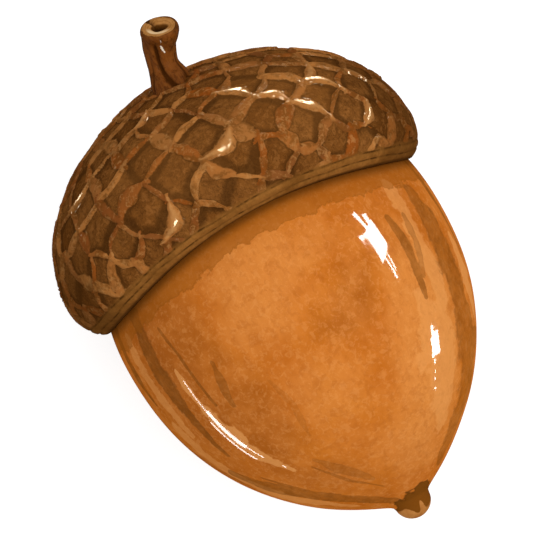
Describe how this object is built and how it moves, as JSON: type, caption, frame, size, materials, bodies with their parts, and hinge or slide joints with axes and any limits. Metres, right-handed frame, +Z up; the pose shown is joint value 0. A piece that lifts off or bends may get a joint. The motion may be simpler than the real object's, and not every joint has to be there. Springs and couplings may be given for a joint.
{
  "type": "acorn",
  "caption": "Oak acorn lying on its side: a squat nut with a pointed tip, seated in a broad scaly cup that ends in a short bent stalk.",
  "frame": {"origin": "on the ground under the middle of the acorn's box", "axes": "+X towards the nut's tip, along the way the acorn lies; +Z up from the ground that it rests on"},
  "size_m": [0.0374, 0.027, 0.0268],
  "materials": {
    "nut_shell": "glossy orange-brown shell with a fine fibrous mottle and darker streaks from cup to tip",
    "cup_scales": "dark brown overlapping scales with paler, polished ridges between them",
    "stalk_bark": "grooved brown bark with a pale cut end round a dark pith"
  },
  "bodies": {
    "root": {"nut": "nut_shell", "cap": "cup_scales", "stalk": "stalk_bark"}
  },
  "joints": []
}
